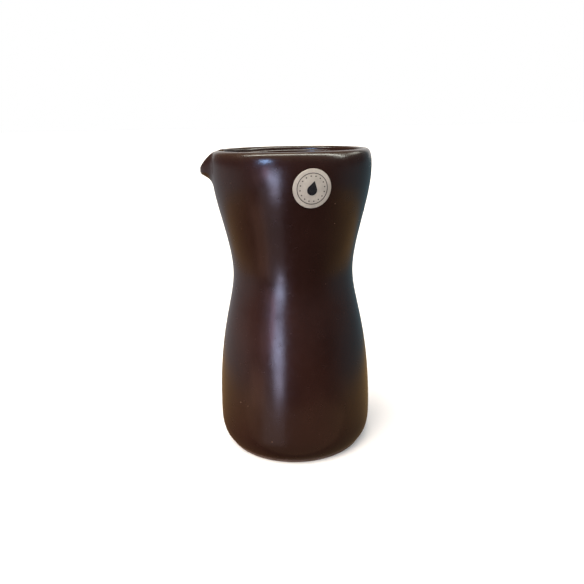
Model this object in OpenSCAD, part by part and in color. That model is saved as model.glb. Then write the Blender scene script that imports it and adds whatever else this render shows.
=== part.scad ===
// Waisted stoneware carafe with a pouring lip, bare foot ring, brown glaze and a round paper label.
// Frame: origin on the vessel's axis at the plane it stands on, +Z up, spout towards -X, label side -Y.

/* [Vessel] */
// Height from the resting plane to the crest of the rim
height = 170; // [168:0.5:176]
// Widest diameter of the belly
belly_d = 90.2; // [86:0.2:96]
// Height of the belly's widest place
belly_z = 15; // [13:0.5:22]
// Diameter of the waist
waist_d = 69; // [62:0.5:74]
// Height of the waist
waist_z = 103; // [92:1:108]
// Diameter of the upper wall where the lip section starts
join_d = 82.4; // [81:0.2:84]
// Diameter of the shoulder under the rim
shoulder_d = 88.2; // [86:0.2:92]
// Height of the shoulder's widest place
shoulder_z = 160; // [157:0.5:161]
// Diameter of the rim's crest
rim_d = 81.2; // [80:0.2:83]

/* [Wall] */
// Thickness of the fired clay
clay_t = 3.9; // [3:0.1:5]
// Thickness of the glaze on each side
glaze_t = 0.35; // [0.25:0.05:0.45]
// Height of the glazed floor inside, above the resting plane
floor_z = 8; // [6.5:0.5:11]

/* [Foot] */
// Outer diameter of the bare foot ring
foot_d = 80.6; // [76:0.2:81]
// Height of the bare band up to the glaze line
foot_h = 2; // [1.5:0.1:3]
// Width of the flat that the vessel stands on
foot_ring_w = 4.5; // [3:0.5:8]
// Depth of the trimmed recess under the floor
foot_recess = 1.5; // [1:0.1:2]

/* [Spout] */
// Distance from the vessel's axis to the spout's tip
spout_reach = 50.4; // [47:0.2:54]
// Drop from the rim's crest to the spout's tip
spout_drop = 11.4; // [9:0.2:13]
// Angle either side of the spout's middle at which the rim is plain again
spout_half_angle = 20; // [16:1:28]

/* [Label] */
// Diameter of the paper label
label_d = 19.4; // [14:0.2:21]
// Angle of the label's middle from the front, towards the right
label_azimuth = 13.5; // [-60:0.5:60]
// Height of the label's middle
label_z = 152.6; // [152.2:0.2:155]
// Turn of the print on the label, clockwise
label_turn = 15; // [-45:1:45]

/* [Hidden] */
$fn = 96;

// Height at which the lip section starts, and how the wall leans outwards there
join_z = 140;
join_rise = [0.23, 1];
wall_t = clay_t + 2 * glaze_t;

// Lengths of the outline's curve handles, named for the point that they start from
line_handle = [2.8, 1.2];
below_belly = 5.6;
above_belly = 53.5;
below_waist = 17.8;
above_waist = 11.7;
below_join = 12.3;
above_join = 7.1;
below_shoulder = 6.2;
above_shoulder = 5.9;
outside_crest = 3;
inside_crest = 1.1;
above_edge = 1.2;
below_edge = 9;
above_inner_belly = 42;
below_inner_belly = 10;
floor_handle = 9;

// Where the inner edge of the rim lies from the crest
edge_offset = [-1.7, -2.2];
// The inner belly: how much thicker the wall is there, and how far it is above the outer belly
belly_extra_t = 0.6;
inner_belly_rise = 11;
// How far inside the belly the flat floor starts
floor_margin = 20;

// The spout's outline in its middle: its root from the join, its crest from the tip and the end of
// its channel from the crest, then the lengths of its curve handles
root_offset = [1.9, 10.5];
crest_offset = [-1.7, 3];
channel_offset = [-3.6, -1.6];
to_root = 4;
before_root = [0.1, 1];
after_root = [0.6, 6];
below_tip = 3.1;
above_tip = 2.7;
outside_spout_crest = 1.6;
inside_spout_crest = 1.4;
before_channel = [1.4, 0.7];
after_channel = [6, 3];

// Straight steps along each curve of the outline, the same on the spout as on the plain wall
foot_steps = 8;
long_steps = 14;
neck_steps = 8;
root_steps = 5;
shoulder_steps = 10;
lip_steps = 6;

// The faceted sector around the spout: a quarter turn that starts at the larger angle of a 3-4-5
// triangle from the front, so that both of its end planes are placed exactly
sector = 90;
sector_start = 90 + atan2(4, 3);
spout_turn = 180 - sector_start;
half_steps = 16;
step_power = 1.25;
plain_steps = 3;
join_gap = 0.03;
// How quickly the lip swells outwards and dips as it nears the spout's middle
swell_power = 3;
dip_power = 1.4;

// The bare foot: its rounded-off edge, and the width of the slope into the recess
foot_bevel = 0.4;
recess_slope = 1;

// The label's layers, its lean, how much smaller the glue is, and how deep the outline is pressed
adhesive_t = 0.05;
paper_t = 0.1;
ink_t = 0.04;
label_tilt = 7.4;
label_pull = 0.3;
press_depth = 6;
// The piece of wall that the label is cut from: its width in degrees and its steps over the shoulder
label_sector = 60;
label_overlap = 5;

// The print, as shares of the label's diameter
ring_share = 0.8;
ring_w_share = 0.018;
dot_share = 0.035;
dot_circle_share = 0.64;
drop_share = 0.26;
dot_count = 16;
dot_sides = 24;
// The drop, as shares of its own diameter
drop_shift = 0.15;
drop_length = 0.85;
drop_tip_share = 0.1;
drop_sides = 48;
drop_tip_sides = 16;

// ---- Curves -------------------------------------------------------------

// A Bezier curve's point at t
function bezier_at(a, b, c, d, t) =
    pow(1 - t, 3) * a + 3 * pow(1 - t, 2) * t * b + 3 * (1 - t) * t * t * c + pow(t, 3) * d;

// A Bezier curve in steps, without its first point, so that curves join end to end
function bezier(a, b, c, d, steps) = [for (i = [1:steps]) bezier_at(a, b, c, d, i / steps)];

function along(list, first, last) = [for (i = [first:last]) list[i]];
function reversed(list) = [for (i = [len(list) - 1:-1:0]) list[i]];

function tangent(path, i) = path[min(i + 1, len(path) - 1)] - path[max(i - 1, 0)];

// A point moved away from the clay by d, square to the path
function moved(p, t, d) = p + d * [t.y, -t.x] / norm(t);

// A path's end moved the same distance, but kept level on a wall and upright on a floor
function end_moved(p, t, d) =
    abs(t.y) > abs(t.x) ? p + [d * norm(t) / t.y, 0] : p - [0, d * norm(t) / t.x];

function parallel(path, d) = [
    for (i = [0:len(path) - 1])
        (i == 0 || i == len(path) - 1) ? end_moved(path[i], tangent(path, i), d)
                                       : moved(path[i], tangent(path, i), d)
];

// ---- The glazed outline, as [radius, height] -----------------------------

glaze_line = [foot_d / 2 + glaze_t, foot_h];
belly = [belly_d / 2, belly_z];
waist = [waist_d / 2, waist_z];
join = [join_d / 2, join_z];
shoulder = [shoulder_d / 2, shoulder_z];
crest = [rim_d / 2, height];
spout_tip = [spout_reach, height - spout_drop];
spout_crest = spout_tip + crest_offset;

inner_edge = crest + edge_offset;
inner_join = join - [wall_t, 0];
inner_waist = waist - [wall_t, 0];
inner_belly = belly + [-wall_t - belly_extra_t, inner_belly_rise];
floor_edge = [belly_d / 2 - floor_margin, floor_z];
floor_middle = [0, floor_z];

// Up the outside, from the glaze line to the join
lower_outside = concat(
    [glaze_line],
    bezier(glaze_line, glaze_line + line_handle, belly - [0, below_belly], belly, foot_steps),
    bezier(belly, belly + [0, above_belly], waist - [0, below_waist], waist, long_steps),
    bezier(waist, waist + [0, above_waist], join - below_join * join_rise, join, neck_steps)
);

// Down the inside, from the join to the middle of the floor
lower_inside = concat(
    [inner_join],
    bezier(inner_join, inner_join - below_join * join_rise,
           inner_waist + [0, above_waist], inner_waist, neck_steps),
    bezier(inner_waist, inner_waist - [0, below_waist],
           inner_belly + [0, above_inner_belly], inner_belly, long_steps),
    bezier(inner_belly, inner_belly - [0, below_inner_belly],
           floor_edge + [floor_handle, 0], floor_edge, foot_steps),
    [floor_middle]
);

// From the join over the lip and down to the join again, where the rim is plain
plain_lip = concat(
    [join],
    bezier(join, join + above_join * join_rise,
           shoulder - [0, below_shoulder], shoulder, shoulder_steps),
    bezier(shoulder, shoulder + [0, above_shoulder], crest + [outside_crest, 0], crest, lip_steps),
    bezier(crest, crest - [inside_crest, 0], inner_edge + [0, above_edge], inner_edge, lip_steps),
    bezier(inner_edge, inner_edge - [0, below_edge],
           inner_join + below_edge * join_rise, inner_join, shoulder_steps)
);

// The same through the middle of the spout
spout_root = join + root_offset;
spout_channel = spout_crest + channel_offset;
spout_lip = concat(
    [join],
    bezier(join, join + to_root * join_rise, spout_root - before_root, spout_root, root_steps),
    bezier(spout_root, spout_root + after_root,
           spout_tip - [0, below_tip], spout_tip, shoulder_steps - root_steps),
    bezier(spout_tip, spout_tip + [0, above_tip],
           spout_crest + [outside_spout_crest, 0], spout_crest, lip_steps),
    bezier(spout_crest, spout_crest - [inside_spout_crest, 0],
           spout_channel + before_channel, spout_channel, lip_steps),
    bezier(spout_channel, spout_channel - after_channel,
           inner_join + below_edge * join_rise, inner_join, shoulder_steps)
);

// How far the wall is drawn out at an angle from the spout's middle: 1 there, 0 on the plain rim
function swell(angle) =
    abs(angle) < spout_half_angle ? pow(cos(90 * angle / spout_half_angle), swell_power) : 0;

function lip_at(angle) = let (s = swell(angle), dip = pow(s, dip_power)) [
    for (i = [0:len(plain_lip) - 1])
        [plain_lip[i].x * (1 - s) + spout_lip[i].x * s,
         plain_lip[i].y * (1 - dip) + spout_lip[i].y * dip]
];

// ---- Cross-sections of each layer ----------------------------------------

lip_end = len(plain_lip) - 1;
// The outside coat ends and the inside coat starts at the rim's inner edge
seam = shoulder_steps + 2 * lip_steps;

function clay_lip(angle) = parallel(lip_at(angle), -glaze_t);
function coat_lip(angle) =
    concat(along(lip_at(angle), 0, seam), reversed(along(clay_lip(angle), 0, seam)));
function liner_lip(angle) =
    concat(along(lip_at(angle), seam, lip_end), reversed(along(clay_lip(angle), seam, lip_end)));

clay_outside = concat([[foot_d / 2, foot_h]],
                      along(parallel(lower_outside, -glaze_t), 1, len(lower_outside) - 1));
clay_inside = parallel(lower_inside, -glaze_t);
ring_inner = foot_d / 2 - foot_ring_w;
foot_outline = [
    [0, foot_recess], [ring_inner - recess_slope, foot_recess], [ring_inner, 0],
    [foot_d / 2 - foot_bevel, 0], [foot_d / 2, foot_bevel]
];

// Each layer's whole outline where the rim is plain; points that two paths share are taken once
clay_outline = concat(
    foot_outline,
    clay_outside,
    along(clay_lip(spout_half_angle), 1, lip_end - 1),
    clay_inside
);
coat_outline = concat(
    lower_outside,
    along(coat_lip(spout_half_angle), 1, 2 * seam),
    reversed(clay_outside)
);
liner_outline = concat(
    along(plain_lip, seam, lip_end),
    along(lower_inside, 1, len(lower_inside) - 1),
    reversed(along(clay_inside, 1, len(clay_inside) - 1)),
    reversed(along(clay_lip(spout_half_angle), seam, lip_end))
);

// ---- Building the round wall and the spout -------------------------------

// Angles from the sector's start, closest together in the spout's middle
turns = concat(
    [for (k = [-half_steps:half_steps])
        spout_turn * (1 + sign(k) * pow(abs(k) / half_steps, step_power))],
    [for (k = [1:plain_steps - 1])
        spout_turn * 2 + (sector - spout_turn * 2) * k / plain_steps],
    [sector]
);

function at_join(p) = abs(p.y - join_z) < 0.001;

// A section's edge at the join, drawn in a little so that facets stay inside the turned wall below
function drawn_in(outline) =
    let (edge = [for (p = outline) if (at_join(p)) p.x], middle = (min(edge) + max(edge)) / 2)
    [for (p = outline) at_join(p) ? [p.x + (p.x > middle ? -join_gap : join_gap), join_z] : p];

function around(outline, angle) = [for (p = outline) [p.x * cos(angle), p.x * sin(angle), p.y]];

// Joins sections of equal length, one after another, into one closed skin
module skin(sections) {
    size = len(sections[0]);
    last = len(sections) - 1;
    function cap(start) = [
        for (i = [0:floor((size - 1) / 2) - 1])
            i + 1 == size - 2 - i ? [start + i, start + i + 1, start + size - 1 - i]
                : [start + i, start + i + 1, start + size - 2 - i, start + size - 1 - i]
    ];
    sides = [
        for (k = [0:last - 1], i = [0:size - 1])
            let (a = k * size + i, b = k * size + (i + 1) % size)
                each [[a, b, a + size], [b, b + size, a + size]]
    ];
    polyhedron(
        points = [for (s = sections) each s],
        faces = concat([for (f = cap(0)) reversed(f)], cap(last * size), sides),
        convexity = 8
    );
}

// A layer of the vessel: turned, except above the join in the spout's sector, which is a skin over
// lips, one outline of the layer's lip for each of turns
module layer(outline, lips) {
    difference() {
        rotate_extrude() polygon(outline);
        rotate([0, 0, sector_start]) translate([0, 0, join_z]) cube(height);
    }
    rotate([0, 0, sector_start])
        skin([for (k = [0:len(turns) - 1]) around(drawn_in(lips[k]), turns[k])]);
}

// ---- The label -----------------------------------------------------------

wall_at_label = lookup(label_z, [for (p = plain_lip) if (p.y < shoulder_z) [p.y, p.x]]);
label_wall = along(plain_lip, 0, shoulder_steps + label_overlap);

// A flat outline pressed on the glaze, between two distances from it
module on_wall(low, high) {
    intersection() {
        rotate([0, 0, label_azimuth - 90 - label_sector / 2])
            rotate_extrude(angle = label_sector)
                polygon(concat(parallel(label_wall, high), reversed(parallel(label_wall, low))));
        rotate([0, 0, label_azimuth])
            translate([0, -wall_at_label, label_z])
                rotate([90 + label_tilt, 0, 0])
                    translate([0, 0, -press_depth]) linear_extrude(2 * press_depth)
                        rotate(-label_turn) children();
    }
}

paper_low = adhesive_t;
paper_high = adhesive_t + paper_t;
ink_high = paper_high + ink_t;
ring_print_d = label_d * ring_share;
ring_print_w = label_d * ring_w_share;
dot_d = label_d * dot_share;
dot_circle_d = label_d * dot_circle_share;
drop_d = label_d * drop_share;

// ---- Sub-parts -----------------------------------------------------------

// The thrown stoneware: floor, wall, lip, spout and the bare foot ring in one piece of clay
module clay_body() {
    color("#8a7059")
        layer(clay_outline, [for (turn = turns) clay_lip(turn - spout_turn)]);
}

// The outer glaze, from the glaze line over the lip to its inner edge
module glaze_coat() {
    color("#3a231c")
        layer(coat_outline, [for (turn = turns) coat_lip(turn - spout_turn)]);
}

// The poured glaze inside, from the lip's inner edge down the wall and over the floor
module liner_glaze() {
    color("#33211b")
        layer(liner_outline, [for (turn = turns) liner_lip(turn - spout_turn)]);
}

// The film of glue behind the label
module label_adhesive() {
    color("#d8cfa8") on_wall(0, adhesive_t) circle(d = label_d - label_pull);
}

// The round paper label
module label_paper() {
    color("#d9cdbb") on_wall(paper_low, paper_high) circle(d = label_d);
}

// The printed ring
module label_ring_print() {
    color("#2b2523") on_wall(paper_high, ink_high) difference() {
        circle(d = ring_print_d);
        circle(d = ring_print_d - 2 * ring_print_w);
    }
}

// The printed circle of dots
module label_dot_print() {
    color("#2b2523") on_wall(paper_high, ink_high)
        for (k = [0:dot_count - 1])
            rotate(360 * k / dot_count) translate([dot_circle_d / 2, 0])
                circle(d = dot_d, $fn = dot_sides);
}

// The printed drop in the middle
module label_drop_print() {
    color("#1f1d22") on_wall(paper_high, ink_high) translate([0, -drop_d * drop_shift]) hull() {
        circle(d = drop_d, $fn = drop_sides);
        translate([0, drop_d * drop_length])
            circle(d = drop_d * drop_tip_share, $fn = drop_tip_sides);
    }
}

clay_body();
glaze_coat();
liner_glaze();
label_adhesive();
label_paper();
label_ring_print();
label_dot_print();
label_drop_print();
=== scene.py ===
"""The look of the carafe: smooth glazed walls, bare foot, inside glaze and round paper label."""

import math

import bpy
import numpy as np
from mathutils import Matrix, Vector, noise


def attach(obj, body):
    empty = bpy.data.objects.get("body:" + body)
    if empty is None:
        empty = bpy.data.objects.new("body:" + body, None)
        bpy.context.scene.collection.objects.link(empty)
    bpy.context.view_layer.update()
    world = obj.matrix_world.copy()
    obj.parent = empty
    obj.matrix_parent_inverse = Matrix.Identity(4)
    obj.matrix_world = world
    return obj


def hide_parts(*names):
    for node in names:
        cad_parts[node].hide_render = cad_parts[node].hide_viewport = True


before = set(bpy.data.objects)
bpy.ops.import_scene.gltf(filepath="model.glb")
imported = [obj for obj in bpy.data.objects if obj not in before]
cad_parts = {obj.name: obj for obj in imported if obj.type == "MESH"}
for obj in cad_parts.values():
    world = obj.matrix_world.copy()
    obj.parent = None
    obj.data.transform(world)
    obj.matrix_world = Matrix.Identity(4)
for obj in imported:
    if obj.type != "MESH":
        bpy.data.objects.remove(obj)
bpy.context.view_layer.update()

MM = 0.001
TINY = 1e-6  # a length in millimetres below which a point counts as being in the same place

# ---- Size of the vessel, in millimetres, as in the CAD part ----------------

HEIGHT = 170.0
JOIN_Z = 140.0
JOIN_SLOPE = 0.23
CLAY_T = 3.9
GLAZE_T = 0.35
WALL_T = CLAY_T + 2 * GLAZE_T
FLOOR_Z = 8.0
FOOT_R = 40.3
FOOT_H = 2.0
FOOT_BEVEL = 0.4
FOOT_RECESS = 1.5
RING_INNER = FOOT_R - 4.5  # the inner edge of the foot ring, before its rounding
FLOOR_MIDDLE_R = 12.0
SPOUT_HALF = 20.0  # degrees from the spout's middle to its edge
SWELL_POWER, DIP_POWER = 3, 1.4  # how sharply the spout grows out and how its crest dips


def pt(r, z):
    """A point or a step in the outline's plane: distance from the axis and height."""
    return np.array([float(r), float(z)])


LINE = pt(FOOT_R + GLAZE_T, FOOT_H)
BELLY = pt(45.1, 15)
WAIST = pt(34.5, 103)
JOIN = pt(41.2, JOIN_Z)
SHOULDER = pt(44.1, 160)
CREST = pt(40.6, HEIGHT)
SPOUT_TIP = pt(50.4, 158.6)
SPOUT_CREST = SPOUT_TIP + pt(-1.7, 3)
INNER_EDGE = CREST + pt(-1.7, -2.2)
INNER_JOIN = JOIN - pt(WALL_T, 0)
INNER_WAIST = WAIST - pt(WALL_T, 0)
INNER_BELLY = BELLY + pt(-WALL_T - 0.6, 11)
FLOOR_EDGE = pt(25.1, FLOOR_Z)
SPOUT_ROOT = JOIN + pt(1.9, 10.5)
SPOUT_CHANNEL = SPOUT_CREST + pt(-3.6, -1.6)
RISE = pt(JOIN_SLOPE, 1)

# How far each curve of the outline runs straight on from the points it joins.
FOOT_OUT = pt(2.8, 1.2)
BELLY_BELOW, BELLY_ABOVE = 5.6, 53.5
WAIST_BELOW, WAIST_ABOVE = 17.8, 11.7
JOIN_BELOW, JOIN_ABOVE, JOIN_ABOVE_SPOUT, JOIN_ABOVE_INSIDE = 12.3, 7.1, 4, 9
SHOULDER_BELOW, SHOULDER_ABOVE = 6.2, 5.9
CREST_OUT, CREST_IN = 3, 1.1
EDGE_ABOVE, EDGE_BELOW = 1.2, 9
INNER_BELLY_ABOVE, INNER_BELLY_BELOW, FLOOR_OUT = 42, 10, 9
ROOT_BELOW, ROOT_ABOVE = pt(0.1, 1), pt(0.6, 6)
TIP_BELOW, TIP_ABOVE = 3.1, 2.7
SPOUT_CREST_OUT, SPOUT_CREST_IN = 1.6, 1.4
CHANNEL_OUT, CHANNEL_IN = pt(1.4, 0.7), pt(6, 3)

# Points on each curve. SEAM is where the outer glaze meets the inside glaze, counted from JOIN.
FOOT_STEPS, LONG_STEPS, NECK_STEPS = 16, 34, 18
ROOT_STEPS, SHOULDER_STEPS, LIP_STEPS = 11, 22, 14
SEAM = SHOULDER_STEPS + 2 * LIP_STEPS


def bezier(a, b, c, d, steps):
    """Points of a Bezier curve without its first one, so that curves join end to end."""
    t = (np.arange(1, steps + 1) / steps)[:, None]
    return (1 - t) ** 3 * a + 3 * (1 - t) ** 2 * t * b + 3 * (1 - t) * t * t * c + t**3 * d


LOWER_OUT = np.vstack([
    LINE[None],
    bezier(LINE, LINE + FOOT_OUT, BELLY - pt(0, BELLY_BELOW), BELLY, FOOT_STEPS),
    bezier(BELLY, BELLY + pt(0, BELLY_ABOVE), WAIST - pt(0, WAIST_BELOW), WAIST, LONG_STEPS),
    bezier(WAIST, WAIST + pt(0, WAIST_ABOVE), JOIN - JOIN_BELOW * RISE, JOIN, NECK_STEPS),
])
LOWER_IN = np.vstack([
    INNER_JOIN[None],
    bezier(INNER_JOIN, INNER_JOIN - JOIN_BELOW * RISE,
           INNER_WAIST + pt(0, WAIST_ABOVE), INNER_WAIST, NECK_STEPS),
    bezier(INNER_WAIST, INNER_WAIST - pt(0, WAIST_BELOW),
           INNER_BELLY + pt(0, INNER_BELLY_ABOVE), INNER_BELLY, LONG_STEPS),
    bezier(INNER_BELLY, INNER_BELLY - pt(0, INNER_BELLY_BELOW),
           FLOOR_EDGE + pt(FLOOR_OUT, 0), FLOOR_EDGE, FOOT_STEPS),
    pt(FLOOR_MIDDLE_R, FLOOR_Z)[None],
    pt(0, FLOOR_Z)[None],
])
PLAIN_LIP = np.vstack([
    JOIN[None],
    bezier(JOIN, JOIN + JOIN_ABOVE * RISE,
           SHOULDER - pt(0, SHOULDER_BELOW), SHOULDER, SHOULDER_STEPS),
    bezier(SHOULDER, SHOULDER + pt(0, SHOULDER_ABOVE), CREST + pt(CREST_OUT, 0), CREST, LIP_STEPS),
    bezier(CREST, CREST - pt(CREST_IN, 0), INNER_EDGE + pt(0, EDGE_ABOVE), INNER_EDGE, LIP_STEPS),
    bezier(INNER_EDGE, INNER_EDGE - pt(0, EDGE_BELOW),
           INNER_JOIN + JOIN_ABOVE_INSIDE * RISE, INNER_JOIN, SHOULDER_STEPS),
])
SPOUT_LIP = np.vstack([
    JOIN[None],
    bezier(JOIN, JOIN + JOIN_ABOVE_SPOUT * RISE, SPOUT_ROOT - ROOT_BELOW, SPOUT_ROOT, ROOT_STEPS),
    bezier(SPOUT_ROOT, SPOUT_ROOT + ROOT_ABOVE,
           SPOUT_TIP - pt(0, TIP_BELOW), SPOUT_TIP, SHOULDER_STEPS - ROOT_STEPS),
    bezier(SPOUT_TIP, SPOUT_TIP + pt(0, TIP_ABOVE),
           SPOUT_CREST + pt(SPOUT_CREST_OUT, 0), SPOUT_CREST, LIP_STEPS),
    bezier(SPOUT_CREST, SPOUT_CREST - pt(SPOUT_CREST_IN, 0),
           SPOUT_CHANNEL + CHANNEL_OUT, SPOUT_CHANNEL, LIP_STEPS),
    bezier(SPOUT_CHANNEL, SPOUT_CHANNEL - CHANNEL_IN,
           INNER_JOIN + JOIN_ABOVE_INSIDE * RISE, INNER_JOIN, SHOULDER_STEPS),
])


def lip_at(angle):
    """The lip's outline at an angle in degrees from the spout's middle."""
    swell = 0.0
    if abs(angle) < SPOUT_HALF:
        swell = math.cos(math.radians(90 * angle / SPOUT_HALF)) ** SWELL_POWER
    dip = swell**DIP_POWER
    return np.stack([
        PLAIN_LIP[:, 0] * (1 - swell) + SPOUT_LIP[:, 0] * swell,
        PLAIN_LIP[:, 1] * (1 - dip) + SPOUT_LIP[:, 1] * dip,
    ], axis=1)


def pushed(path, distance):
    """A path moved square to itself by a distance: away from the clay if it's positive."""
    tangent = np.gradient(path, axis=0)
    normal = np.stack([tangent[:, 1], -tangent[:, 0]], axis=1)
    normal /= np.linalg.norm(normal, axis=1)[:, None]
    moved = path + distance * normal
    moved[path[:, 0] < TINY, 0] = 0.0
    return moved


def whole_path(angle):
    """The glazed surface at one angle, from the glaze line over the lip to the floor's middle."""
    return np.vstack([LOWER_OUT, lip_at(angle)[1:-1], LOWER_IN])


SEAM_AT = len(LOWER_OUT) - 1 + SEAM


# ---- Rings around the axis: close together at the spout --------------------

CLOSE_TO = 24  # degrees each side of the spout's middle with close rings
CLOSE_RINGS, WIDE_RINGS = 61, 131


def ring_angles():
    """Angles from the spout's middle, in degrees, once round."""
    near = np.linspace(-CLOSE_TO, CLOSE_TO, CLOSE_RINGS)
    far = np.linspace(CLOSE_TO, 360 - CLOSE_TO, WIDE_RINGS)[1:-1]
    return np.concatenate([near, far])


ANGLES = ring_angles()


DENT_DEPTH, FINGER_DEPTH = 0.16, 0.045
EVEN_BELOW, EVEN_FADE = 2.5, 8  # the wall is true up to this height, and dented from there on


def uneven(angle, z):
    """How far the thrown wall lies inside its true circle, in mm: shallow dents, finger lines."""
    a = math.radians(angle)
    spot = Vector((math.cos(a) * 1.6, math.sin(a) * 1.6, z * 0.028))
    slow = 0.5 + 0.5 * noise.noise(spot)
    rings = 0.5 + 0.5 * noise.noise(Vector((3.1 + a * 0.15, 0.4, z * 0.32)))
    fade = min(1.0, max(0.0, (z - EVEN_BELOW) / EVEN_FADE))
    return fade * (DENT_DEPTH * min(max(slow, 0), 1) + FINGER_DEPTH * min(max(rings, 0), 1))


LEVELS = np.arange(0, HEIGHT + 1, 1.0)
DENTED_FROM_R = 20  # the floor inside the walls stays flat


def to_space(path, angle):
    """A path of [radius, height] at an angle from the spout, as points in metres."""
    turn = math.radians(180 + angle)
    dents = np.array([uneven(angle, z) for z in LEVELS])
    r = path[:, 0] - np.where(path[:, 0] > DENTED_FROM_R, np.interp(path[:, 1], LEVELS, dents), 0.0)
    return np.stack([r * math.cos(turn), r * math.sin(turn), path[:, 1]], axis=1) * MM


def revolve(name, sections, closed):
    """A closed skin over sections, one for each of ANGLES. Points on the axis are shared.
    closed joins the last point of each section to its first one."""
    count = len(sections[0])
    verts, index = [], {}
    grid = np.zeros((len(sections), count), int)
    for j, section in enumerate(sections):
        for i, p in enumerate(section):
            key = i if math.hypot(p[0], p[1]) < TINY * MM else (j, i)
            if key not in index:
                index[key] = len(verts)
                verts.append(tuple(p))
            grid[j, i] = index[key]
    faces = []
    for j in range(len(sections)):
        k = (j + 1) % len(sections)
        for i in range(count if closed else count - 1):
            n = (i + 1) % count
            loop = [grid[j, i], grid[k, i], grid[k, n], grid[j, n]]
            face = [v for m, v in enumerate(loop) if v != loop[m - 1]]
            if len(face) > 2:
                faces.append([int(v) for v in face])
    return mesh_object(name, verts, faces)


def mesh_object(name, verts, faces):
    """A smooth-shaded object in the scene."""
    mesh = bpy.data.meshes.new(name)
    mesh.from_pydata(verts, [], faces)
    mesh.validate()
    mesh.polygons.foreach_set("use_smooth", [True] * len(mesh.polygons))
    obj = bpy.data.objects.new(name, mesh)
    bpy.context.scene.collection.objects.link(obj)
    return obj


def outward(obj):
    """Turns a closed mesh's faces so that they all look out."""
    mesh = obj.data
    co = np.array([v.co for v in mesh.vertices])
    volume = 0.0
    for p in mesh.polygons:
        a = co[p.vertices[0]]
        for m in range(1, len(p.vertices) - 1):
            volume += np.dot(a, np.cross(co[p.vertices[m]], co[p.vertices[m + 1]]))
    if volume < 0:
        mesh.flip_normals()
    mesh.update()
    return obj


def paint(obj, name, value_at):
    """A number on every vertex, from its place in millimetres."""
    layer = obj.data.attributes.new(name, "FLOAT", "POINT")
    layer.data.foreach_set("value", [value_at(v.co / MM) for v in obj.data.vertices])


def coarse(path, step):
    """Every step-th point of a path, and always its last one."""
    keep = list(range(0, len(path) - 1, step)) + [len(path) - 1]
    return path[keep]


HIDDEN_STEP, CLAY_STEP = 3, 2  # how much coarser the faces behind the glaze are


def glaze_edge(angle):
    """The rolled lower edge of the glaze, a little uneven where it was wiped off the foot."""
    a = math.radians(angle)
    wave = noise.noise(Vector((math.cos(a) * 4, math.sin(a) * 4, 5.0)))
    wave += 0.5 * noise.noise(Vector((math.cos(a) * 11, math.sin(a) * 11, 9.0)))
    low = FOOT_H - 0.12 + 0.3 * wave
    return np.array([
        [FOOT_R - 0.02, low + 0.10],
        [FOOT_R + 0.06, low - 0.02],
        [FOOT_R + 0.20, low - 0.04],
        [FOOT_R + 0.33, low + 0.12],
    ])


def coat_section(angle):
    """The outer glaze at one angle: its outside, then its back against the clay."""
    surface = whole_path(angle)
    outside = surface[: SEAM_AT + 1]
    inside = pushed(surface, -GLAZE_T)[: SEAM_AT + 1]
    inside = coarse(inside, HIDDEN_STEP)[::-1]
    return np.vstack([glaze_edge(angle), outside[1:], inside[:-1]])


def liner_section(angle):
    """The inside glaze at one angle: its back against the clay, then its own surface."""
    surface = whole_path(angle)
    top = surface[SEAM_AT:]
    back = coarse(pushed(surface, -GLAZE_T)[SEAM_AT:], HIDDEN_STEP)[::-1]
    return np.vstack([back, top])


def clay_section(angle):
    """The clay at one angle: the recess, the worn foot ring, then the wall under the glaze."""
    surface = pushed(whole_path(angle), -GLAZE_T)
    foot = np.array([
        [0, FOOT_RECESS],
        [14, FOOT_RECESS - 0.05],
        [RING_INNER - 6, FOOT_RECESS - 0.02],
        [RING_INNER - 1.4, FOOT_RECESS - 0.12],
        [RING_INNER - 0.55, FOOT_RECESS * 0.45],
        [RING_INNER - 0.1, 0.10],
        [RING_INNER + 0.35, 0.0],
        [FOOT_R - FOOT_BEVEL - 0.2, 0.0],
        [FOOT_R - 0.16, 0.08],
        [FOOT_R, FOOT_BEVEL],
        [FOOT_R + 0.02, 1.2],
        [FOOT_R, FOOT_H],
    ])
    return np.vstack([foot, coarse(surface[1:], CLAY_STEP)])


def vessel_layer(name, section, closed):
    return outward(revolve(name, [to_space(section(a), a) for a in ANGLES], closed))


coat = vessel_layer("outer_glaze", coat_section, True)
liner = vessel_layer("inner_glaze", liner_section, False)
clay = vessel_layer("stoneware_body", clay_section, False)

LIP_FROM_Z = 155  # no part of the lip is lower
PAST_SEAM = 6  # points past the seam that still count as the lip
THIN_AT, THIN_WIDTH = 0.47, 0.33  # where on the lip the glaze is thinnest, as shares of its path
LIP_GAP = 0.8  # farther from the lip's outline than this is not on its surface


def lip_thinness(p):
    """1 along the crest of the lip, where the glaze runs thin, and 0 away from it."""
    if p.z < LIP_FROM_Z:
        return 0.0
    r = math.hypot(p.x, p.y)
    angle = (math.degrees(math.atan2(p.y, p.x)) % 360) - 180
    outline = lip_at(angle)[SHOULDER_STEPS : SEAM + PAST_SEAM]
    gap = np.hypot(outline[:, 0] - r, outline[:, 1] - p.z)
    near = int(gap.argmin())
    place = near / (len(outline) - 1)
    return max(0.0, 1 - abs(place - THIN_AT) / THIN_WIDTH) if gap[near] < LIP_GAP else 0.0


paint(coat, "thin", lip_thinness)

# ---- The label -------------------------------------------------------------

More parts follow.
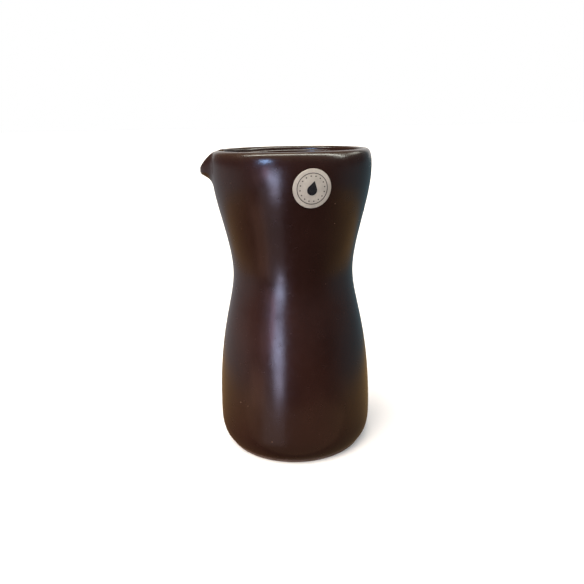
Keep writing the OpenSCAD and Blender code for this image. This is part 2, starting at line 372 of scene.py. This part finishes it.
LABEL_R = 9.7
LABEL_TURN = math.radians(-15)
LABEL_AZIMUTH = math.radians(13.5)
LABEL_Z = 152.6
LABEL_TILT = math.radians(7.4)
GLUE_T, PAPER_T, INK_T = 0.05, 0.10, 0.04
GLUE_INSET = 0.15
INK_LOW, INK_HIGH = GLUE_T + PAPER_T, GLUE_T + PAPER_T + INK_T
RING_R, RING_W = 0.8 * LABEL_R, 0.036 * LABEL_R
DOTS, DOTS_AT, DOT_R = 16, 0.64 * LABEL_R, 0.035 * LABEL_R
DROP_R = 0.26 * LABEL_R
DROP_TIP_R = 0.1 * DROP_R
DROP_SPAN = 2 * 0.85 * DROP_R  # from the middle of the drop's bottom to the middle of its tip
DROP_DOWN = 0.3 * DROP_R
LOOSE_AT = math.radians(238)  # the direction of the loose edge on the label
LOOSE_LIFT, LOOSE_FROM, WRINKLE = 0.30, 0.78, 0.02
CRISP = 0.97  # a last loop this close to the edge keeps the edge crisp
WALL_END = SHOULDER_STEPS + 10
WALL_R, WALL_Z = PLAIN_LIP[:WALL_END, 0], PLAIN_LIP[:WALL_END, 1]
label_out = Vector((math.sin(LABEL_AZIMUTH), -math.cos(LABEL_AZIMUTH), 0))
label_side = Vector((math.cos(LABEL_AZIMUTH), math.sin(LABEL_AZIMUTH), 0))
label_face = label_out * math.cos(LABEL_TILT) - Vector((0, 0, math.sin(LABEL_TILT)))
label_face.normalize()
label_up = label_face.cross(label_side)
label_middle = label_out * float(np.interp(LABEL_Z, WALL_Z, WALL_R)) + Vector((0, 0, LABEL_Z))


def wall_at(u, v):
    """The wall's surface and its normal behind a place on the flat label, in millimetres."""
    p = label_middle + label_side * u + label_up * v
    for _ in range(6):
        angle = math.degrees(math.atan2(-p.y, -p.x))
        gap = np.interp(p.z, WALL_Z, WALL_R) - uneven(angle, p.z) - math.hypot(p.x, p.y)
        p = p + label_face * float(gap)
    slope = np.interp(p.z + 0.5, WALL_Z, WALL_R) - np.interp(p.z - 0.5, WALL_Z, WALL_R)
    normal = Vector((p.x, p.y, -slope * math.hypot(p.x, p.y))).normalized()
    return p, normal


def lift(u, v):
    """How far the label's loose lower left edge stands off the glaze, in millimetres."""
    r, a = math.hypot(u, v) / LABEL_R, math.atan2(v, u)
    side = max(0.0, math.cos(a - LOOSE_AT)) ** 6
    wrinkle = 0.5 + 0.5 * noise.noise(Vector((u * 0.35, v * 0.35, 2.0)))
    loose = max(0.0, (r - LOOSE_FROM) / (1 - LOOSE_FROM)) ** 2
    return LOOSE_LIFT * side * loose + WRINKLE * wrinkle


def on_wall(name, rings, low, high):
    """A thin solid on the wall, from low to high above it. rings are closed loops of flat places,
    from the inside out. The first one is filled if all its places are the same."""
    filled = np.ptp(rings[0], axis=0).max() < TINY
    count = len(rings[0])
    verts, faces = [], []

    def level(height, ring_list):
        start = len(verts)
        for k, ring in enumerate(ring_list):
            for u, v in ring[: 1 if k == 0 and filled else count]:
                p, n = wall_at(u, v)
                verts.append(tuple((p + n * (height + lift(u, v))) * MM))
        return start

    top, bottom = level(high, rings), level(low, rings)

    def vertex(start, k, m):
        if filled:
            return start if k == 0 else start + 1 + (k - 1) * count + m % count
        return start + k * count + m % count

    for start, turn in ((top, 1), (bottom, -1)):
        for k in range(len(rings) - 1):
            for m in range(count):
                loop = [vertex(start, k, m), vertex(start, k + 1, m),
                        vertex(start, k + 1, m + 1), vertex(start, k, m + 1)]
                face = [v for i, v in enumerate(loop) if v != loop[i - 1]]
                faces.append(face[::turn])
    last = len(rings) - 1
    for k in ((last,) if filled else (0, last)):
        for m in range(count):
            face = [vertex(top, k, m), vertex(bottom, k, m),
                    vertex(bottom, k, m + 1), vertex(top, k, m + 1)]
            faces.append(face if k else face[::-1])
    return outward(mesh_object(name, verts, faces))


def circle(sides):
    """Places on a circle of radius 1."""
    turns = np.arange(sides) * 2 * math.pi / sides
    return np.stack([np.cos(turns), np.sin(turns)], axis=1)


def disc(radius, steps, sides, centre=(0, 0)):
    """Loops of a round disc. The last two are close together, so the edge stays crisp."""
    shares = list(np.linspace(0, CRISP, steps)) + [1.0]
    return [circle(sides) * radius * s + np.array(centre) for s in shares]


def turned(loops):
    """Loops turned as the print is on the label."""
    c, s = math.cos(LABEL_TURN), math.sin(LABEL_TURN)
    return [loop @ np.array([[c, s], [-s, c]]) for loop in loops]


def joined(name, parts):
    """Several meshes as one piece."""
    verts, faces = [], []
    for part in parts:
        base = len(verts)
        verts += [tuple(v.co) for v in part.data.vertices]
        faces += [[base + v for v in p.vertices] for p in part.data.polygons]
        bpy.data.objects.remove(part)
    return mesh_object(name, verts, faces)


def drop_outline(count=72):
    """The printed drop: a round bottom drawn up to a small round tip, as points on its edge."""
    lean = math.asin((DROP_R - DROP_TIP_R) / DROP_SPAN)
    big = int(count * 0.75)
    bottom = np.linspace(math.pi - lean, 2 * math.pi + lean, big)
    top = np.linspace(lean, math.pi - lean, count - big)
    shape = np.vstack([
        np.stack([DROP_R * np.cos(bottom), DROP_R * np.sin(bottom)], axis=1),
        np.stack([DROP_TIP_R * np.cos(top), DROP_TIP_R * np.sin(top) + DROP_SPAN], axis=1),
    ])
    return shape - np.array([0, DROP_DOWN])


def printed(name, loops):
    return on_wall(name, loops, INK_LOW, INK_HIGH)


def printed_dot(number):
    a = 2 * math.pi * number / DOTS
    middle = (DOTS_AT * math.cos(a), DOTS_AT * math.sin(a))
    return printed("dot", turned(disc(DOT_R, 2, 20, middle)))


glue = on_wall("label_adhesive_film", disc(LABEL_R - GLUE_INSET, 8, 96), 0.0, GLUE_T)
paper = on_wall("label_paper_disc", disc(LABEL_R, 12, 128), GLUE_T, INK_LOW)
ring_radii = (RING_R - RING_W, RING_R - RING_W / 2, RING_R)
ring = printed("label_printed_ring", [circle(128) * r for r in ring_radii])
dots = joined("label_printed_dots", [printed_dot(k) for k in range(DOTS)])
drop_shares = (0, 0.25, 0.5, 0.75, CRISP, 1)
drop = printed("label_printed_drop", turned([drop_outline() * s for s in drop_shares]))

# ---- Materials -------------------------------------------------------------


class Nodes:
    """Short ways to make and join the nodes of one material."""

    def __init__(self, name):
        self.material = bpy.data.materials.new(name)
        self.material.use_nodes = True
        self.tree = self.material.node_tree
        self.shader = self.tree.nodes["Principled BSDF"]
        self.place = self.make("ShaderNodeTexCoord").outputs["Object"]

    def make(self, kind, **values):
        """A new node with its settings."""
        node = self.tree.nodes.new(kind)
        for key, value in values.items():
            setattr(node, key, value)
        return node

    def link(self, out, to):
        self.tree.links.new(out, to)

    def noise(self, scale, detail=4.0, rough=0.55, stretch=(1, 1, 1)):
        """Noise from 0 to 1. scale is in cycles to the metre, and stretch under 1 draws it out."""
        mapping = self.make("ShaderNodeMapping")
        mapping.inputs["Scale"].default_value = stretch
        self.link(self.place, mapping.inputs["Vector"])
        node = self.make("ShaderNodeTexNoise")
        node.inputs["Scale"].default_value = scale
        node.inputs["Detail"].default_value = detail
        node.inputs["Roughness"].default_value = rough
        self.link(mapping.outputs["Vector"], node.inputs["Vector"])
        return node.outputs["Fac"]

    def mix(self, share, a, b):
        """Colour a turned into b by share, each a socket, a colour or a number."""
        node = self.make("ShaderNodeMix", data_type="RGBA")
        for value, socket in ((share, node.inputs[0]), (a, node.inputs[6]), (b, node.inputs[7])):
            if isinstance(value, tuple):
                socket.default_value = (*value, 1)
            elif isinstance(value, (int, float)):
                socket.default_value = value
            else:
                self.link(value, socket)
        return node.outputs[2]

    def scaled(self, value, low, high, start=0.0, end=1.0):
        """A number brought from one range to another, and kept in it."""
        node = self.make("ShaderNodeMapRange")
        node.inputs["From Min"].default_value = start
        node.inputs["From Max"].default_value = end
        node.inputs["To Min"].default_value = low
        node.inputs["To Max"].default_value = high
        self.link(value, node.inputs["Value"])
        return node.outputs["Result"]

    def height(self):
        """The height of the point, in metres."""
        node = self.make("ShaderNodeSeparateXYZ")
        self.link(self.place, node.inputs["Vector"])
        return node.outputs["Z"]

    def product(self, a, b):
        node = self.make("ShaderNodeMath", operation="MULTIPLY")
        self.link(a, node.inputs[0])
        self.link(b, node.inputs[1])
        return node.outputs[0]

    def painted(self, name):
        """A number that paint() put on the vertices."""
        return self.make("ShaderNodeAttribute", attribute_name=name).outputs["Fac"]

    def cells(self, scale, size, soft):
        """Round specks: 1 inside a speck and 0 between them."""
        node = self.make("ShaderNodeTexVoronoi")
        node.inputs["Scale"].default_value = scale
        self.link(self.place, node.inputs["Vector"])
        return self.scaled(node.outputs["Distance"], 1.0, 0.0, size, size + soft), node

    def bump(self, heights):
        """Bumps stacked on each other: (value, strength, distance in metres)."""
        last = None
        for value, strength, distance in heights:
            node = self.make("ShaderNodeBump")
            node.inputs["Strength"].default_value = strength
            node.inputs["Distance"].default_value = distance
            self.link(value, node.inputs["Height"])
            if last is not None:
                self.link(last, node.inputs["Normal"])
            last = node.outputs["Normal"]
        self.link(last, self.shader.inputs["Normal"])

    def set(self, **values):
        """Constants on the shader's own sockets."""
        for name, value in values.items():
            self.shader.inputs[name.replace("_", " ")].default_value = value


SPECK_COLOUR = (0.17, 0.11, 0.07)
SPECK_SHARE = 0.05


def rare(nodes, cell_node, share):
    """1 on a few of the cells, so that most specks don't show."""
    split = nodes.make("ShaderNodeSeparateColor")
    nodes.link(cell_node.outputs["Color"], split.inputs["Color"])
    return nodes.scaled(split.outputs["Red"], 0.0, 1.0, 1 - share, 1 - share + 0.01)


def glaze(name, dark, warm, rim, gloss):
    """A satin brown glaze: clouds from dark to warm, faint runs, pinholes and a few pale specks.
    rim is its colour where it runs thin over the lip, and gloss its least and most roughness."""
    n = Nodes(name)
    cloud = n.noise(26, 3.0, 0.5)
    streak = n.noise(60, 3.0, 0.5, (1, 1, 0.22))
    fine = n.noise(900, 3.0, 0.6)
    colour = n.mix(n.scaled(cloud, 0.0, 1.0, 0.35, 0.68), dark, warm)
    run_colour = tuple(c * 1.35 for c in warm)
    colour = n.mix(n.scaled(streak, 0.0, 0.35, 0.45, 0.75), colour, run_colour)
    pit_colour = tuple(c * 0.7 for c in dark)
    colour = n.mix(n.scaled(fine, 0.0, 0.10, 0.45, 0.8), colour, pit_colour)
    specks, cell = n.cells(230, 0.05, 0.03)
    few = n.product(specks, rare(n, cell, SPECK_SHARE))
    colour = n.mix(few, colour, SPECK_COLOUR)
    if rim:
        edge = n.product(n.painted("thin"), n.scaled(n.noise(160, 3.0), 0.35, 1.0, 0.3, 0.6))
        colour = n.mix(edge, colour, rim)
    n.link(colour, n.shader.inputs["Base Color"])
    rough = n.noise(240, 4.0, 0.65)
    n.link(n.scaled(rough, gloss[0], gloss[1], 0.3, 0.7), n.shader.inputs["Roughness"])
    n.set(IOR=1.5, Specular_IOR_Level=0.5)
    n.bump([
        (n.noise(120, 2.0), 0.25, 0.00012),
        (n.noise(620, 2.0, 0.5), 0.30, 0.00005),
        (n.noise(1700, 2.0, 0.5), 0.25, 0.00002),
        (few, 0.6, 0.00008),
    ])
    return n.material


def stoneware():
    """Bare fired clay: grainy, with dark specks, and darker up the foot towards the glaze edge."""
    n = Nodes("fired_stoneware")
    grain = n.noise(900, 5.0, 0.65)
    cloud = n.noise(70, 3.0)
    clouds = n.scaled(cloud, 0.0, 1.0, 0.3, 0.7)
    colour = n.mix(clouds, (0.130, 0.082, 0.052), (0.205, 0.140, 0.095))
    colour = n.mix(n.scaled(grain, 0.0, 0.5, 0.4, 0.8), colour, (0.26, 0.19, 0.135))
    dark, _ = n.cells(1100, 0.12, 0.10)
    colour = n.mix(n.scaled(dark, 0.0, 0.65), colour, (0.045, 0.030, 0.022))
    # Darker up the foot: none at 0.8 mm above the floor, and the most from 2 mm up, under the glaze
    # edge.
    darker_upwards = n.scaled(n.height(), 0.75, 0.0, 0.0020, 0.0008)
    colour = n.mix(darker_upwards, colour, (0.075, 0.042, 0.028))
    n.link(colour, n.shader.inputs["Base Color"])
    n.link(n.scaled(grain, 0.72, 0.95), n.shader.inputs["Roughness"])
    n.set(Specular_IOR_Level=0.3)
    n.bump([(n.noise(420, 4.0), 0.5, 0.00012), (grain, 0.6, 0.00006)])
    return n.material


def label_stock():
    """Uncoated paper with a fibre and a slight yellowing."""
    n = Nodes("label_paper_stock")
    fibre = n.noise(1500, 4.0, 0.6, (1, 1, 0.35))
    cloud = n.noise(180, 3.0)
    clouds = n.scaled(cloud, 0.0, 1.0, 0.3, 0.7)
    colour = n.mix(clouds, (0.485, 0.455, 0.370), (0.625, 0.585, 0.480))
    colour = n.mix(n.scaled(fibre, 0.0, 0.4, 0.45, 0.8), colour, (0.42, 0.36, 0.29))
    n.link(colour, n.shader.inputs["Base Color"])
    n.link(n.scaled(fibre, 0.6, 0.85), n.shader.inputs["Roughness"])
    n.set(Specular_IOR_Level=0.35)
    n.bump([(n.noise(350, 3.0), 0.3, 0.00004), (fibre, 0.4, 0.00002)])
    return n.material


def ink(name, colour, worn):
    """Printing ink. worn is how far the paper shows through at its weakest spots."""
    n = Nodes(name)
    grain = n.noise(3200, 3.0, 0.7)
    share = n.scaled(grain, 0.0, worn, 0.5, 0.85)
    n.link(n.mix(share, colour, (0.30, 0.26, 0.21)), n.shader.inputs["Base Color"])
    n.link(n.scaled(n.noise(700), 0.45, 0.7), n.shader.inputs["Roughness"])
    n.set(Specular_IOR_Level=0.25)
    n.bump([(grain, 0.3, 0.00001)])
    return n.material


def label_glue():
    """The glue's dull yellow film."""
    n = Nodes("label_glue_film")
    cloud = n.noise(600, 3.0)
    n.link(n.mix(cloud, (0.42, 0.33, 0.19), (0.60, 0.50, 0.32)), n.shader.inputs["Base Color"])
    n.link(n.scaled(cloud, 0.3, 0.5), n.shader.inputs["Roughness"])
    n.bump([(cloud, 0.3, 0.00002)])
    return n.material


OUTER = glaze("brown_outer_glaze", (0.0165, 0.0055, 0.0038), (0.0255, 0.0092, 0.0062),
              (0.052, 0.032, 0.016), (0.20, 0.28))
INNER = glaze("brown_inner_glaze", (0.0200, 0.0072, 0.0044), (0.0320, 0.0124, 0.0070),
              None, (0.20, 0.30))
FINISHES = [
    (clay, "clay_body", "bare_stoneware", stoneware()),
    (coat, "glaze_coat", "outer_glaze", OUTER),
    (liner, "liner_glaze", "inner_glaze", INNER),
    (glue, "label_adhesive", "label_glue", label_glue()),
    (paper, "label_paper", "label_stock", label_stock()),
    (ring, "label_ring_print", "brown_ink", ink("brown_print", (0.030, 0.022, 0.018), 0.6)),
    (dots, "label_dot_print", "brown_ink", ink("brown_print_dots", (0.030, 0.022, 0.018), 0.6)),
    (drop, "label_drop_print", "black_ink", ink("black_print", (0.007, 0.007, 0.010), 0.25)),
]
for obj, node, slot_name, material in FINISHES:
    obj.data.materials.append(material)
    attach(obj, "root")
    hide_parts(node)

# ---- Floor, light and camera ----------------------------------------------


def pale_floor():
    """A wide pale floor, for the camera only. The glaze mirrors the studio's dim walls in its
    place, as over a dark table."""
    size = 20.0
    mesh = bpy.data.meshes.new("pale_floor")
    mesh.from_pydata([(-size, -size, 0), (size, -size, 0), (size, size, 0), (-size, size, 0)], [],
                     [(0, 1, 2, 3)])
    obj = bpy.data.objects.new("pale_floor", mesh)
    bpy.context.scene.collection.objects.link(obj)
    n = Nodes("pale_floor")
    cloud = n.noise(3, 2.0)
    n.link(n.mix(cloud, (0.80, 0.79, 0.77), (0.82, 0.81, 0.79)), n.shader.inputs["Base Color"])
    n.set(Roughness=0.9, Specular_IOR_Level=0.1)
    n.set(Emission_Color=(1, 1, 1, 1), Emission_Strength=0.12)
    mesh.materials.append(n.material)
    obj.visible_glossy = obj.visible_diffuse = obj.visible_shadow = False


class Sky:
    """The studio's walls: a colour for each direction."""

    def __init__(self):
        world = bpy.data.worlds.new("studio")
        bpy.context.scene.world = world
        world.use_nodes = True
        self.tree = world.node_tree
        self.back = self.tree.nodes["Background"]
        place = self.tree.nodes.new("ShaderNodeTexCoord")
        self.split = self.tree.nodes.new("ShaderNodeSeparateXYZ")
        self.tree.links.new(place.outputs["Generated"], self.split.inputs["Vector"])

    def share(self, axis, start, end):
        """0 before start and 1 after end, along one axis of the direction."""
        node = self.tree.nodes.new("ShaderNodeMapRange")
        node.interpolation_type = "SMOOTHSTEP"
        node.inputs["From Min"].default_value = start
        node.inputs["From Max"].default_value = end
        self.tree.links.new(self.split.outputs[axis], node.inputs["Value"])
        return node.outputs["Result"]

    def mix(self, share, a, b):
        """Colour a turned into b by share. a and b are each a socket or a colour."""
        node = self.tree.nodes.new("ShaderNodeMix")
        node.data_type = "RGBA"
        self.tree.links.new(share, node.inputs[0])
        for value, socket in ((a, node.inputs[6]), (b, node.inputs[7])):
            if isinstance(value, tuple):
                socket.default_value = (*value, 1)
            else:
                self.tree.links.new(value, socket)
        return node.outputs[2]


def studio_walls():
    """The camera sees a plain pale backdrop. The glaze mirrors a warm table below, dim walls
    above it, and a pale wall straight behind the vessel."""
    sky = Sky()
    far = sky.mix(sky.share("X", -0.3, 0.3), FAR_LEFT, FAR_RIGHT)
    near_table = sky.mix(sky.share("X", -0.3, 0.3), TABLE_NEAR, TABLE_NEAR_RIGHT)
    table = sky.mix(sky.share("Z", -0.52, -0.36), near_table, TABLE_FAR)
    low = sky.mix(sky.share("Z", -0.38, -0.26), table, far)
    low = sky.mix(sky.share("Y", -0.75, 0.05), LOW_FRONT, low)
    back = sky.mix(sky.share("X", 0.48, 0.62), BACKDROP, FAR_RIGHT)
    back = sky.mix(sky.share("X", -0.62, -0.48), HIGH_LEFT, back)
    high = sky.mix(sky.share("Y", 0.35, 0.85), HIGH_FRONT, back)
    colour = sky.mix(sky.share("Z", -0.02, -0.01), low, high)
    seen = sky.tree.nodes.new("ShaderNodeLightPath").outputs["Is Camera Ray"]
    sky.tree.links.new(sky.mix(seen, colour, BACKDROP), sky.back.inputs["Color"])


def aimed(name, light, azimuth, elevation, distance, aim):
    """Places a light. Azimuth 0 is on the camera's side, and turns towards the right."""
    a, e = math.radians(azimuth), math.radians(elevation)
    way = Vector((math.sin(a) * math.cos(e), -math.cos(a) * math.cos(e), math.sin(e)))
    obj = bpy.data.objects.new(name, light)
    bpy.context.scene.collection.objects.link(obj)
    obj.location = Vector(aim) + way * distance
    obj.rotation_euler = way.to_track_quat("Z", "Y").to_euler()
    obj.visible_camera = False
    return obj


def softbox(name, azimuth, elevation, distance, size, radiance, colour, aim=(0, 0, 0.10)):
    """A rectangular light of an even brightness, at a distance from the point it aims at."""
    light = bpy.data.lights.new(name, "AREA")
    light.shape = "RECTANGLE"
    light.size, light.size_y = size
    light.energy = radiance * math.pi * size[0] * size[1]
    light.color = colour
    return aimed(name, light, azimuth, elevation, distance, aim)


def soft_sun(name, azimuth, elevation, strength, width, colour):
    """Light from a wide patch of sky, which the glaze doesn't mirror."""
    light = bpy.data.lights.new(name, "SUN")
    light.energy = strength
    light.angle = math.radians(width)
    light.color = colour
    aimed(name, light, azimuth, elevation, 1.0, (0, 0, 0)).visible_glossy = False


FAR_LEFT = (0.40, 0.40, 0.42)
FAR_RIGHT = (0.145, 0.225, 0.265)
TABLE_FAR = (0.54, 0.33, 0.14)
TABLE_NEAR = (0.25, 0.13, 0.07)
TABLE_NEAR_RIGHT = (0.24, 0.16, 0.09)
HIGH_LEFT = (0.20, 0.18, 0.18)
LOW_FRONT = (0.06, 0.045, 0.04)
HIGH_FRONT = (0.10, 0.09, 0.10)
BACKDROP = (1.0, 1.0, 1.0)

pale_floor()
studio_walls()

# The window on the left, which makes the bright streak: azimuth and elevation in degrees,
# distance and size in metres, brightness, colour, and the point it aims at.
softbox("window_high", -24, 0, 0.67, (0.165, 0.150), 12.0, (0.62, 0.68, 1.0), (0, 0, 0.057))
softbox("window_low", -23, 0, 0.67, (0.13, 0.10), 9.2, (0.70, 0.70, 1.0), (0, 0, -0.098))
softbox("window_frame", -34, 0, 0.67, (0.08, 0.13), 4.5, (1.0, 0.60, 0.84), (0, 0, 0.125))
softbox("window_side", -46, 0, 0.67, (0.14, 0.12), 0.7, (1.0, 0.60, 0.65), (0, 0, 0.06))
window_blue = softbox("window_blue", -36, 19, 1.00, (0.16, 0.14), 44.0, (0.36, 0.57, 1.0))

# The table's glow in the lower walls.
softbox("table_sheen", -33, -27, 1.20, (0.62, 0.56), 0.42, (1.0, 0.82, 0.84))
softbox("table_warm", -54, 0, 0.30, (0.12, 0.08), 0.7, (1.0, 0.52, 0.36), (0, 0, -0.035))
softbox("table_bounce", 0, -89, 0.02, (0.24, 0.084), 0.24, (1.0, 0.62, 0.32),
        (-0.03, -0.088, 0.022))

# The bright line along the lip.
strip_above = softbox("strip_above", 90, 80, 1.06, (0.22, 3.4), 19.0, (0.95, 0.98, 0.88),
                      (0, -0.34, 0.10))
strip_right = softbox("strip_right", 110, 31, 1.30, (0.60, 0.24), 4.4, (0.97, 0.98, 0.86))
for mirrored_only in (window_blue, strip_above, strip_right):
    mirrored_only.visible_diffuse = False

soft_sun("key", -60, 60, 5.0, 60, (1.0, 0.90, 0.80))
soft_sun("fill", 20, 60, 2.0, 90, (1.0, 1.0, 1.0))

# The photograph's view: place in metres, and turns in degrees.
CAMERA_AT = Vector((0, -0.323, 0.18333))
CAMERA_TURN, CAMERA_DOWN, CAMERA_ROLL = 0.1388, 16.4046, -1.0157
camera_data = bpy.data.cameras.new("camera")
camera_data.lens = 35.353
camera_data.sensor_width = 36.0
camera_data.clip_start, camera_data.clip_end = 0.01, 20
camera = bpy.data.objects.new("camera", camera_data)
bpy.context.scene.collection.objects.link(camera)
turn = (Matrix.Rotation(math.radians(CAMERA_TURN), 4, "Z")
        @ Matrix.Rotation(math.radians(90 - CAMERA_DOWN), 4, "X")
        @ Matrix.Rotation(math.radians(CAMERA_ROLL), 4, "Z"))
camera.matrix_world = Matrix.Translation(CAMERA_AT) @ turn
bpy.context.scene.camera = camera
bpy.context.scene.view_settings.view_transform = "Standard"
